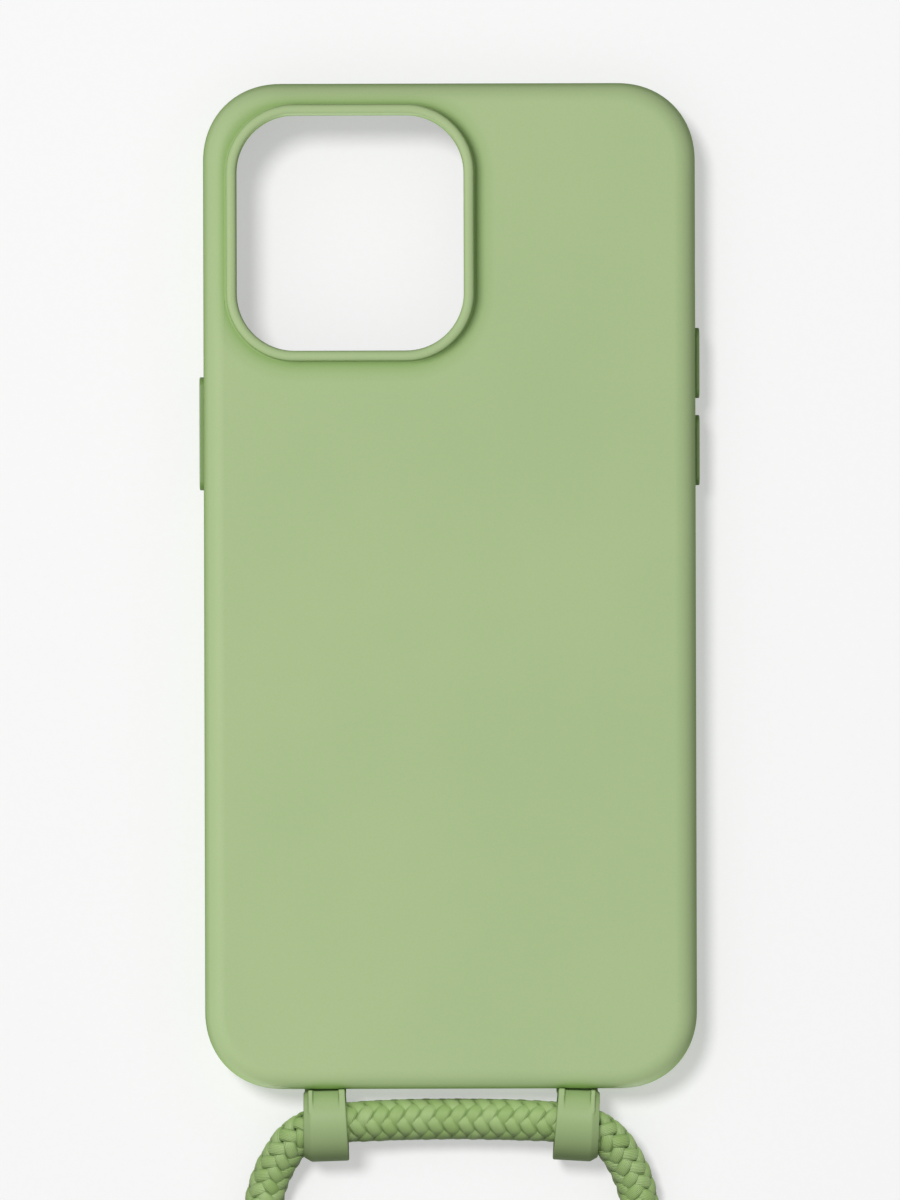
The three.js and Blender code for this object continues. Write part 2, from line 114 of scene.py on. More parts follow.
def make_mesh(name, points, faces, uv=None):
    """An object from points in millimetres."""
    mesh = bpy.data.meshes.new(name)
    mesh.from_pydata((np.asarray(points, float) * MM).tolist(), [], faces)
    mesh.update()
    mesh.polygons.foreach_set("use_smooth", [True] * len(mesh.polygons))
    if uv is not None:
        layer = mesh.uv_layers.new(name="strand")
        loops = np.zeros(len(mesh.loops), np.int32)
        mesh.loops.foreach_get("vertex_index", loops)
        layer.data.foreach_set("uv", np.asarray(uv, np.float32)[loops].ravel())
    return linked_object(name, mesh)


def apply_modifiers(obj):
    """Bakes an object's modifiers into its mesh."""
    graph = bpy.context.evaluated_depsgraph_get()
    mesh = bpy.data.meshes.new_from_object(obj.evaluated_get(graph))
    obj.modifiers.clear()
    old = obj.data
    obj.data = mesh
    mesh.name = obj.name
    bpy.data.meshes.remove(old)
    return obj


CORNER_SIGNS = ((1, 1), (-1, 1), (-1, -1), (1, -1))


def outline(half_x, half_y, radius, centre=(0.0, 0.0), corner_steps=12, side_steps=(1, 1), power=2.0):
    """A rectangle with round corners, anticlockwise. A power over 2 squares its corners a little."""
    corners = [np.array([x * (half_x - radius), y * (half_y - radius)]) for x, y in CORNER_SIGNS]
    points = []
    for quarter, corner in enumerate(corners):
        for step in range(corner_steps + 1):
            angle = (quarter + step / corner_steps) * math.pi / 2
            c, s = math.cos(angle), math.sin(angle)
            bulge = (abs(c) ** power + abs(s) ** power) ** (-1 / power)
            points.append(corner + radius * bulge * np.array([c, s]))
        angle = (quarter + 1) * math.pi / 2
        target = corners[(quarter + 1) % 4] + radius * np.array([math.cos(angle), math.sin(angle)])
        start = points[-1]
        steps = side_steps[(quarter + 1) % 2]
        for step in range(1, steps):
            points.append(start + (target - start) * step / steps)
    return np.array(points) + np.array(centre)


def at_height(flat, z):
    """A flat outline as points at one height."""
    return np.column_stack([flat, np.full(len(flat), z)])


def loft_faces(rings, count, closed=False, base=0):
    """The quads between rings of count points each, whose ends are capped or, if closed, joined."""
    total = rings * count
    faces = []
    for ring in range(rings if closed else rings - 1):
        low, high = base + ring * count, base + (ring + 1) * count % total
        faces += [(low + i, low + (i + 1) % count, high + (i + 1) % count, high + i) for i in range(count)]
    if not closed:
        faces.append(tuple(range(base + count - 1, base - 1, -1)))
        faces.append(tuple(range(base + total - count, base + total)))
    return faces


def loft(name, rings, closed=False):
    """A solid through rings, capped flat at both ends or closed on itself."""
    obj = make_mesh(name, np.vstack(rings), loft_faces(len(rings), len(rings[0]), closed))
    fix_normals(obj)
    return obj


def fix_normals(obj):
    mesh = bmesh.new()
    mesh.from_mesh(obj.data)
    bmesh.ops.remove_doubles(mesh, verts=mesh.verts, dist=1e-7)
    bmesh.ops.recalc_face_normals(mesh, faces=mesh.faces)
    mesh.to_mesh(obj.data)
    mesh.free()


def plate_with_holes(name, families, fills):
    """A closed skin of ring families, with flat fills between rings of different families.

    families is a list of lists of rings, and a fill lists the (family, ring) pairs that bound it.
    """
    mesh = bmesh.new()
    vertices = []
    for rings in families:
        vertices.append([[mesh.verts.new(Vector(point) * MM) for point in ring] for ring in rings])
        for lower, upper in zip(vertices[-1], vertices[-1][1:]):
            for i in range(len(lower)):
                j = (i + 1) % len(lower)
                mesh.faces.new((lower[i], lower[j], upper[j], upper[i]))
    for bounds in fills:
        edges = []
        for family, ring in bounds:
            loop = vertices[family][ring]
            for i, vertex in enumerate(loop):
                pair = (vertex, loop[(i + 1) % len(loop)])
                edges.append(mesh.edges.get(pair) or mesh.edges.new(pair))
        bmesh.ops.triangle_fill(mesh, edges=edges, use_beauty=True)
    bmesh.ops.recalc_face_normals(mesh, faces=mesh.faces)
    return smooth_object(name, mesh)


def cut(obj, cutters):
    """Cuts solids out of an object and removes them."""
    for cutter in cutters:
        modifier = obj.modifiers.new("cut", "BOOLEAN")
        modifier.operation = "DIFFERENCE"
        modifier.solver = "EXACT"
        modifier.object = cutter
    apply_modifiers(obj)
    for cutter in cutters:
        bpy.data.objects.remove(cutter)
    return obj


def crisp(obj, angle=35.0):
    """Sharp edges stay sharp, and large flat faces set the shading of the small ones beside them."""
    obj.data.set_sharp_from_angle(angle=math.radians(angle))
    modifier = obj.modifiers.new("weighted", "WEIGHTED_NORMAL")
    modifier.mode = "FACE_AREA"
    modifier.weight = 80
    modifier.keep_sharp = True
    return apply_modifiers(obj)


def melt(obj, voxel, rounds, factor=0.5):
    """Joins the overlapping solids of an object into one skin and softens its edges."""
    modifier = obj.modifiers.new("melt", "REMESH")
    modifier.mode = "VOXEL"
    modifier.voxel_size = voxel * MM
    modifier.use_smooth_shade = True
    apply_modifiers(obj)
    mesh = bmesh.new()
    mesh.from_mesh(obj.data)
    for _ in range(rounds):
        bmesh.ops.smooth_vert(
            mesh, verts=mesh.verts, factor=factor, use_axis_x=True, use_axis_y=True, use_axis_z=True
        )
    mesh.to_mesh(obj.data)
    mesh.free()
    return obj


def join(name, parts):
    """One object from several."""
    mesh = bmesh.new()
    for part in parts:
        mesh.from_mesh(part.data)
        bpy.data.objects.remove(part)
    return smooth_object(name, mesh)


def place(obj, body, slot, material, *nodes):
    """Paints a piece, makes it ride on a body and stand for CAD nodes."""
    obj.data.materials.clear()
    obj.data.materials.append(material)
    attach(obj, body)
    if nodes:
        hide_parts(*nodes)
    return obj


# ---------------------------------------------------------------- material helpers

def linear(red, green, blue):
    """A colour given in 0 to 255 as it shows, in the renderer's linear values."""
    def one(value):
        value /= 255
        return value / 12.92 if value <= 0.04045 else ((value + 0.055) / 1.055) ** 2.4
    return (one(red), one(green), one(blue), 1.0)


class Nodes:
    """Short ways to add nodes to a tree."""

    def __init__(self, tree):
        self.tree = tree

    def node(self, kind, values=None, **settings):
        node = self.tree.nodes.new(kind)
        for key, value in settings.items():
            setattr(node, key, value)
        for key, value in (values or {}).items():
            if isinstance(value, bpy.types.NodeSocket):
                self.tree.links.new(value, node.inputs[key])
            else:
                node.inputs[key].default_value = value
        return node

    def math(self, operation, a, b=0.0, c=0.0):
        return self.node("ShaderNodeMath", {0: a, 1: b, 2: c}, operation=operation).outputs[0]

    def spread(self, value, low, high, to_low=0.0, to_high=1.0, **settings):
        """Maps low..high to to_low..to_high, clamped."""
        values = {"Value": value, "From Min": low, "From Max": high, "To Min": to_low, "To Max": to_high}
        return self.node("ShaderNodeMapRange", values, **settings).outputs["Result"]

    def split(self, vector):
        """A vector's three parts."""
        return self.node("ShaderNodeSeparateXYZ", {"Vector": vector}).outputs


class Paint(Nodes):
    """A material under construction: a principled shader and the nodes that feed it."""

    def __init__(self, name, roughness, **sockets):
        self.material = bpy.data.materials.new(name)
        self.material.use_nodes = True
        super().__init__(self.material.node_tree)
        self.shader = self.tree.nodes["Principled BSDF"]
        self.shader.inputs["Roughness"].default_value = roughness
        for socket, value in sockets.items():
            self.shader.inputs[socket.replace("_", " ")].default_value = value
        self.height = None

    def noise(self, size, detail=2.0, roughness=0.5, distortion=0.0):
        """Noise from 0 to 1, in the piece's own space, whose patches are about size millimetres across."""
        values = {
            "Vector": self.node("ShaderNodeTexCoord").outputs["Object"], "Scale": 1 / (size * MM),
            "Detail": detail, "Roughness": roughness, "Distortion": distortion,
        }
        return self.node("ShaderNodeTexNoise", values).outputs["Fac"]

    def mix(self, factor, first, second):
        return self.node("ShaderNodeMix", {0: factor, 6: first, 7: second}, data_type="RGBA").outputs[2]

    def feed(self, socket, value):
        self.tree.links.new(value, self.shader.inputs[socket])

    def strand_place(self):
        """Where a point is across and along its strand."""
        return self.split(self.node("ShaderNodeUVMap", uv_map="strand").outputs["UV"])

    def bump(self, height, depth):
        """Adds relief of depth millimetres where height goes from 0 to 1."""
        values = {"Height": height, "Distance": depth * MM, "Strength": 1.0}
        if self.height is not None:
            values["Normal"] = self.height
        self.height = self.node("ShaderNodeBump", values).outputs["Normal"]
        self.feed("Normal", self.height)


# Sizes in millimetres of a moulding's patches of tint and of sheen, and how far each of them goes.
TINT_PATCH = 38.0
SHEEN_PATCH = 9.0
ROUGH_SWING = 0.06
SPECKLE = 0.5
SPECKLE_DEPTH = 0.04
RUB_LIFT = 1.16
# How far the painted shade in corners looks for cover, and the shares of the dark tint that painted shade
# keeps.
CREVICE_SHADE_REACH = 3.6
SHADE_SHARES = (0.46, 0.68, 0.20)


def moulded(
    name, light, dark, roughness, grain=0.35, relief=0.012, rub=0.35, steep_shade=0.0, crevice_shade=0.0, **sockets
):
    """A moulded soft or hard plastic: drifting tint, fine speckle, edges rubbed lighter, fine grain, painted
    shade.

    Two arguments set painted shade in the colour: the first is how far steep faces turn darker and richer,
    and the second is how far corners and hollows found by an ambient occlusion node do.
    """
    paint = Paint(name, roughness, **sockets)
    drift = paint.spread(paint.noise(TINT_PATCH, 3.0), 0.3, 0.7)
    base = paint.mix(drift, linear(*light), linear(*dark))
    fine = paint.spread(paint.noise(grain, 3.0, 0.6), 0.25, 0.75, -SPECKLE, SPECKLE)
    speck = paint.node("ShaderNodeHueSaturation", {
        "Value": paint.math("ADD", 1.0, paint.math("MULTIPLY", fine, SPECKLE_DEPTH)), "Color": base,
    }).outputs[0]
    rubbed = paint.spread(paint.node("ShaderNodeNewGeometry").outputs["Pointiness"], 0.505, 0.56, 0.0, rub)
    lifted = tuple(min(1.0, value * RUB_LIFT) for value in linear(*light)[:3]) + (1.0,)
    # Painted shade on steep faces: the further a face turns from up, the darker and richer it is painted.
    steep = paint.split(paint.node("ShaderNodeNewGeometry").outputs["Normal"])[2]
    painted_shade = paint.spread(paint.math("ABSOLUTE", steep), 0.15, 0.68, steep_shade, 0.0)
    # Painted shade in corners and hollows that an ambient occlusion node finds.
    if crevice_shade:
        open_share = paint.node(
            "ShaderNodeAmbientOcclusion", {"Distance": CREVICE_SHADE_REACH * MM}, samples=12
        ).outputs["AO"]
        painted_shade = paint.math("MAXIMUM", painted_shade, paint.spread(open_share, 0.55, 0.97, crevice_shade, 0.0))
    # The colour of the painted shade: the dark tint, its red and blue cut more than its green.
    shade_colour = tuple(value * share for value, share in zip(linear(*dark)[:3], SHADE_SHARES)) + (1.0,)
    paint.feed("Base Color", paint.mix(painted_shade, paint.mix(rubbed, speck, lifted), shade_colour))
    sheen = paint.noise(SHEEN_PATCH, 4.0)
    paint.feed("Roughness", paint.spread(sheen, 0.2, 0.8, roughness - ROUGH_SWING, roughness + ROUGH_SWING))
    paint.bump(paint.noise(grain, 4.0, 0.65), relief)
    return paint.material


def braid_paint():
    """Polyester strands with filament lines along each, and painted shade: darker in the filament grooves and
    at the strands' edges, darker and richer where they dive under the crossing strands.
    """
    paint = Paint("braid", 0.52, Sheen_Weight=0.18, Sheen_Roughness=0.5)
    paint.shader.inputs["Sheen Tint"].default_value = linear(210, 228, 180)
    across, along, _ = paint.strand_place()
    wander = paint.noise(0.9, 2.0)
    lines = paint.math("MULTIPLY", across, FILAMENT_LINES)
    lines = paint.math("ADD", lines, paint.math("MULTIPLY", wander, FILAMENT_WANDER))
    filament = paint.spread(paint.math("SINE", lines), -1.0, 1.0)
    tint = paint.node("ShaderNodeAttribute", attribute_name="tint").outputs["Fac"]
    depth = paint.node("ShaderNodeAttribute", attribute_name="depth").outputs["Fac"]
    base = paint.mix(tint, linear(*BRAID_LIGHT), linear(*BRAID_MID))
    # Painted shade in the grooves between filaments, where the relief runs low.
    groove_shade = paint.math("MULTIPLY", paint.math("SUBTRACT", 1.0, filament), FILAMENT_SHADE)
    base = paint.mix(groove_shade, base, linear(*BRAID_DARK))
    # Painted shade at each strand's edges, where it meets its neighbours.
    off_middle = paint.math("ABSOLUTE", paint.math("MULTIPLY_ADD", across, 2.0, -1.0))
    base = paint.mix(paint.spread(off_middle, 0.55, 0.98, 0.0, 0.6), base, linear(*BRAID_DARK))
    # Painted shade, darker and richer, where a strand runs low to dive under the crossing strands.
    base = paint.mix(paint.spread(depth, 0.30, 0.86, 0.9, 0.0), base, linear(*BRAID_GAP_SHADE))
    paint.feed("Base Color", base)
    slow = paint.math("SINE", paint.math("MULTIPLY", along, 9.0))
    relief = paint.math("ADD", filament, paint.math("MULTIPLY", slow, 0.15))
    paint.bump(relief, 0.05)
    paint.bump(paint.noise(0.12, 3.0), 0.02)
    return paint.material


def microfibre_paint():
    """A short brushed nap: fine fibres, with lighter and darker strokes where it was brushed."""
    paint = Paint("microfibre", 0.95, Sheen_Weight=0.6, Sheen_Roughness=0.45)
    fibres = paint.noise(0.25, 6.0, 0.7)
    strokes = paint.spread(paint.noise(14.0, 3.0, 0.6, distortion=1.2), 0.35, 0.65)
    base = paint.mix(strokes, linear(168, 184, 140), linear(156, 173, 128))
    paint.feed("Base Color", paint.mix(paint.spread(fibres, 0.3, 0.7, 0.0, 0.5), base, linear(186, 201, 160)))
    paint.bump(fibres, 0.12)
    return paint.material


def strap_paint():
    """A woven strap: a fine warp and weft with painted shade in the weave's dips, and a fuzz of loops."""
    paint = Paint("strap_weave", 0.88, Sheen_Weight=0.4, Sheen_Roughness=0.5)
    across, along, _ = paint.strand_place()
    warp = paint.math("SINE", paint.math("MULTIPLY", across, 2 * math.pi / WARP_PITCH))
    weft = paint.math("SINE", paint.math("MULTIPLY", along, 2 * math.pi / WEFT_PITCH))
    weave = paint.spread(paint.math("MULTIPLY", warp, weft), -1.0, 1.0)
    fuzz = paint.noise(0.3, 4.0, 0.7)
    # Painted shade: darker in the weave's dips, where the relief runs low.
    base = paint.mix(weave, linear(*BRAID_DARK), linear(*BRAID_MID))
    paint.feed("Base Color", paint.mix(paint.spread(fuzz, 0.4, 0.8, 0.0, 0.4), base, linear(*BRAID_LIGHT)))
    paint.bump(weave, 0.1)
    paint.bump(fuzz, 0.08)
    return paint.material


FILAMENT_LINES = 56.0
FILAMENT_WANDER = 5.0
FILAMENT_SHADE = 0.22
WARP_PITCH = 0.55
WEFT_PITCH = 0.7

BRAID_LIGHT = (162, 187, 126)
BRAID_MID = (140, 169, 98)
# The colour of painted shade in the filament grooves, at the strands' edges and in the strap's weave dips.
BRAID_DARK = (100, 130, 64)
# The colour of the painted shade, darker and richer, where strands dive under.
BRAID_GAP_SHADE = (58, 86, 30)

# The case's silicone carries painted shade on steep faces and in corners, and the loops' silicone carries a
# little in corners.
SILICONE = moulded(
    "silicone", (168, 189, 138), (164, 186, 135), 0.5, grain=0.3, relief=0.008, rub=0.0, steep_shade=0.66,
    crevice_shade=0.72, Specular_IOR_Level=0.14,
)
LOOP_SILICONE = moulded(
    "loop_silicone", (145, 166, 117), (141, 163, 112), 0.5, grain=0.25, relief=0.01, rub=0.05, crevice_shade=0.2,
    Specular_IOR_Level=0.14,
)
# Darker than the case's silicone, as painted shade: the buttons sit in shade under the case's rounded edge.
BUTTON_PLASTIC = moulded("button_plastic", (120, 148, 84), (110, 140, 76), 0.42, grain=0.15, relief=0.006)
CORE_PLASTIC = moulded("core_plastic", (150, 172, 120), (144, 166, 114), 0.48, grain=0.2, relief=0.015)
SLIDER_PLASTIC = moulded("slider_plastic", (150, 174, 116), (142, 168, 108), 0.4, grain=0.22, relief=0.012)
CAP_PLASTIC = moulded("cap_plastic", (146, 170, 112), (138, 164, 104), 0.38, grain=0.2, relief=0.01)
MICROFIBRE = microfibre_paint()
BRAID = braid_paint()
STRAP = strap_paint()


# ---------------------------------------------------------------- camera, floor and light

FRAME_HEIGHT = 197.65
FRAME_CENTRE = (0.0, CASE_CENTRE[1] - 2.3)
CAMERA_DISTANCE = 1500.0
CAMERA_ROLL = math.radians(-0.15)
SENSOR = 36.0

# The lights stand far off. The case has a key on the left, a weak fill on the right and a bounce from below.
# The strap and the table have a key each.
KEY_DISTANCE = 3000.0
CASE_KEY = {"elevation": 61.0, "turn": 2.0, "size": 2000.0, "power": 71.0}
CASE_FILL = {"elevation": 20.0, "turn": 180.0, "size": 1400.0, "power": 10.0}
STRAP_KEY = {"elevation": 60.0, "turn": 86.0, "size": 900.0, "power": 84.0}
TABLE_KEY = {"elevation": 68.0, "turn": 45.0, "size": 800.0, "power": 68.0}
BOUNCE = {"elevation": -32.0, "turn": -90.0, "size": 1200.0, "power": 80.0}
SKY_STRENGTH = 0.42
FLOOR_GREY = 0.46
FLOOR_GLOW = 0.44


def make_camera():
    data = bpy.data.cameras.new("camera")
    data.sensor_fit = "VERTICAL"
    data.sensor_height = SENSOR
    data.sensor_width = SENSOR
    data.lens = SENSOR * CAMERA_DISTANCE / FRAME_HEIGHT
    data.clip_end = 10.0
    camera = linked_object("camera", data)
    camera.location = Vector((FRAME_CENTRE[0], FRAME_CENTRE[1], BACK_Z + CAMERA_DISTANCE)) * MM
    camera.rotation_euler = (0.0, 0.0, CAMERA_ROLL)
    bpy.context.scene.camera = camera


def area_light(name, place, target, size, power):
    data = bpy.data.lights.new(name, "AREA")
    data.shape = "DISK"
    data.size = size * MM
    data.energy = power
    light = linked_object(name, data)
    light.location = Vector(place) * MM
    direction = Vector(target) * MM - light.location
    light.rotation_euler = direction.to_track_quat("-Z", "Y").to_euler()
    light.visible_camera = False
    return light


def make_floor():
    """A pale table, a little of its brightness coming from a light behind it."""
    side = 4000.0
    corners = [(-side, -side, 0), (side, -side, 0), (side, side, 0), (-side, side, 0)]
    floor = make_mesh("floor", corners, [(0, 1, 2, 3)])
    paint = Paint("lit_table", 0.9, Specular_IOR_Level=0.1)
    tone = paint.spread(paint.noise(1.2, 3.0, 0.6), 0.3, 0.7)
    paler = FLOOR_GREY * 1.02
    greys = [(grey, grey, grey, 1.0) for grey in (FLOOR_GREY, paler)]
    paint.feed("Base Color", paint.mix(tone, *greys))
    paint.shader.inputs["Emission Color"].default_value = (1.0, 1.0, 1.0, 1.0)
    paint.shader.inputs["Emission Strength"].default_value = FLOOR_GLOW
    floor.data.materials.append(paint.material)
    return floor


def make_world():
    """A soft sky, bright overhead and dark near the horizon, with a paler side on the left."""
    world = bpy.data.worlds.new("studio")
    world.use_nodes = True
    sky = Nodes(world.node_tree)
    x, y, z = sky.split(sky.node("ShaderNodeTexCoord").outputs["Generated"])
    height = sky.spread(z, 0.0, 0.8, 0.12, 1.0, interpolation_type="SMOOTHSTEP")
    side = sky.math("MULTIPLY_ADD", y, -0.15, sky.math("MULTIPLY_ADD", x, -0.3, 1.0))
    strength = sky.math("MULTIPLY", sky.math("MULTIPLY", height, side), SKY_STRENGTH)
    background = sky.tree.nodes["Background"]
    background.inputs["Color"].default_value = (1.0, 1.0, 1.0, 1.0)
    sky.tree.links.new(strength, background.inputs["Strength"])
    bpy.context.scene.world = world


def key_light(name, receivers, elevation, turn, size, power):
    flat = math.cos(math.radians(elevation))
    turn = math.radians(turn)
    toward = np.array([-flat * math.cos(turn), flat * math.sin(turn), math.sin(math.radians(elevation))])
    light = area_light(name, toward * KEY_DISTANCE, (0, 0, 0), size, power)
    light.light_linking.receiver_collection = receivers
    return light


def linked(name, objects, included=True):
    """A collection for light linking: these objects only, or everything but them."""
    collection = bpy.data.collections.new(name)
    for obj in objects:
        collection.objects.link(obj)
    for entry in collection.collection_objects:
        entry.light_linking.link_state = "INCLUDE" if included else "EXCLUDE"
    return collection


def make_studio():
    """The table's own glow and its key light stay on the table."""
    floor = make_floor()
    make_world()
    only_floor = linked("only_floor", [floor])
    floor.light_linking.receiver_collection = only_floor
    key_light("table_key", only_floor, **TABLE_KEY)
    bpy.context.scene.view_settings.view_transform = "Standard"
    return floor


def light_pieces(floor, shell, strap_pieces):
    """The case is lit from the left, the loops and the cord from the top of the view.

    A weak fill from the right reaches the case, and a bounce reaches the shell's bottom edge.
    """
    key_light("strap_key", linked("only_strap", strap_pieces), **STRAP_KEY)
    rest = linked("all_but_floor_and_strap", [floor, *strap_pieces], included=False)
    key_light("case_key", rest, **CASE_KEY)
    key_light("case_fill", rest, **CASE_FILL)
    bounce = key_light("bounce", linked("only_shell", [shell]), **BOUNCE)
    bounce.light_linking.blocker_collection = linked("all_but_floor", [floor], included=False)


make_camera()
FLOOR = make_studio()


# ---------------------------------------------------------------- the cord's route

# The right half from inside its loop, in millimetres. The left half mirrors it, and differs after the slider.
RUN = [
    (21.2, -83.1, 6.3), (22.6, -83.3, 6.3), (24.2, -83.9, 6.15), (26.6, -86.0, 5.5), (28.6, -89.0, 4.5),
    (30.1, -92.2, 3.7), (31.0, -95.6, 3.4), (31.2, -99.5, 3.35), (29.9, -104.6, 3.35), (26.2, -109.2, 3.35),
    (20.8, -112.0, 3.35), (14.6, -113.7, 3.4), (9.2, -116.5, 3.7), (5.5, -121.3, 4.2), (4.2, -127.2, 4.4),
    (4.2, -134, 4.4), (4.2, -142, 4.4), (4.2, -150, 4.4), (4.2, -158, 4.4), (4.2, -166, 4.3),
]
RIGHT_LEAD_IN = [(4.66, -170.3, 3.8), (6.43, -174.2, 3.4), (9.36, -177.5, 3.35), (13.19, -179.7, 3.35)]
LEFT_LEAD_IN = [(-2.96, -172.7, 3.7), (0.23, -178.6, 3.35), (4.97, -183.3, 3.35), (10.91, -186.2, 3.35)]
BRIDGE = [
    (-20.8, -83.03, 6.3), (-19, -82.78, 6.3), (-17, -82.55, 6.2), (-8, -82.2, 5.7), (0, -82.1, 5.5),
    (8, -82.2, 5.7), (17, -82.55, 6.2), (19, -82.78, 6.3), (20.8, -83.03, 6.3),
]

COIL_Y = -217.44
COIL_RADIUS = 36.5
COIL_JOIN = math.radians(70.7)
COIL_TURNS = 2.63
RAMP_START = 1.3
RAMP_END = 0.52
TIE_LIFT = 1.3
TIE_REACH = 0.45
END_SPREAD = 0.65
END_LIFT = 0.6


def smoothstep(value):
    value = min(max(value, 0.0), 1.0)
    return value * value * (3 - 2 * value)


def coil_points(side):
    """One half's turns: side by side in pairs, a layer higher after each turn, lifted over the strap."""
    points = []
    whole = 2 * math.pi
    steps = 40
    last = int(COIL_TURNS * steps)
    for step in range(1, last + 1):
        travelled = step / last * COIL_TURNS * whole
        level = 0.0
        for turn in (1, 2):
            start = turn * whole - RAMP_START
            level += smoothstep((travelled - start) / (RAMP_START - RAMP_END))
        angle = COIL_JOIN - travelled
        off = (angle + math.pi / 2 + math.pi) % whole - math.pi
        lift = TIE_LIFT * smoothstep(1 - (abs(off) - 0.12) / TIE_REACH)
        near_end = smoothstep((travelled - (COIL_TURNS * whole - 0.45)) / 0.45)
        radius = COIL_RADIUS + side * (LAYER_PITCH / 2 + END_SPREAD * near_end)
        z = FLOOR_Z + level * LAYER_PITCH + lift + END_LIFT * near_end
        points.append((radius * math.cos(angle), COIL_Y + radius * math.sin(angle), z))
    return points


def between(u, low, high, first, second):
    """The mix of two points that u makes on its way from low to high."""
    return (high - u) / (high - low) * first + (u - low) / (high - low) * second


def catmull_rom(points, step=0.2):
    """A smooth curve through points, sampled evenly."""
    points = [np.array(point, float) for point in points]
    points = [2 * points[0] - points[1], *points, 2 * points[-1] - points[-2]]
    dense = []
    for p0, p1, p2, p3 in zip(points, points[1:], points[2:], points[3:]):
        t = np.cumsum([0.0] + [math.sqrt(np.linalg.norm(b - a)) for a, b in ((p0, p1), (p1, p2), (p2, p3))])
        pieces = max(2, int(np.linalg.norm(p2 - p1) / step))
        for u in np.linspace(t[1], t[2], pieces, endpoint=False):
            a1 = between(u, t[0], t[1], p0, p1)
            a2 = between(u, t[1], t[2], p1, p2)
            a3 = between(u, t[2], t[3], p2, p3)
            b1, b2 = between(u, t[0], t[2], a1, a2), between(u, t[1], t[3], a2, a3)
            dense.append(between(u, t[1], t[2], b1, b2))
    dense.append(points[-2])
    return np.array(dense)


def lengths_along(points):
    return np.concatenate([[0.0], np.cumsum(np.linalg.norm(np.diff(points, axis=0), axis=1))])


# ---------------------------------------------------------------- the braided cord

HELIX_PITCH = 10.4
STRANDS_EACH_WAY = 4
BRAID_MEAN = 2.62
BRAID_WAVE = 0.20
BRAID_SQUARENESS = 1.6
BRIDGE_FULLNESS = 1.065
BRAID_TURN = math.radians(22.5)
STRAND_HALF_WIDTH = 1.16
STRAND_HALF_DEPTH = 0.45
STRAND_BEND = 3.2
BRIDGE_PINCHES = (0.0, 41.8)
BRIDGE_SEEN = (0, 50)
HALF_SEEN = (0, 24)
BRIDGE_SEED = 3
HALF_SEED = 7
PINCH = 0.08
PINCH_REACH = 4.0

# A strand's section, as shares of its half width and half depth: flat on top with round shoulders.
STRAND_SECTION = np.array([
    (1.0, -0.2), (0.94, 0.7), (0.6, 1.0), (0.0, 1.05), (-0.6, 1.0), (-0.94, 0.7), (-1.0, -0.2),
    (0.0, -0.9),
])


def frames_along(path):
    """Directions along a path and two across it that twist as little as they can."""
    along = np.gradient(path, axis=0)
    along /= np.linalg.norm(along, axis=1)[:, None]
    side = np.empty_like(path)
    first = np.cross(along[0], (0.0, 0.0, 1.0))
    side[0] = first / np.linalg.norm(first)
    for i in range(1, len(path)):
        kept = side[i - 1] - along[i] * np.dot(side[i - 1], along[i])
        side[i] = kept / np.linalg.norm(kept)
    return along, side, np.cross(along, side)


def stations(total, detailed):
    """Distances along the cord at which its strands are shaped, closer together where it is seen near."""
    fine, coarse = HELIX_PITCH / 48, HELIX_PITCH / 18
    places = [0.0]
    while places[-1] < total:
        near = any(low <= places[-1] < high for low, high in detailed)
        places.append(places[-1] + (fine if near else coarse))
    places[-1] = total
    return np.array(places)


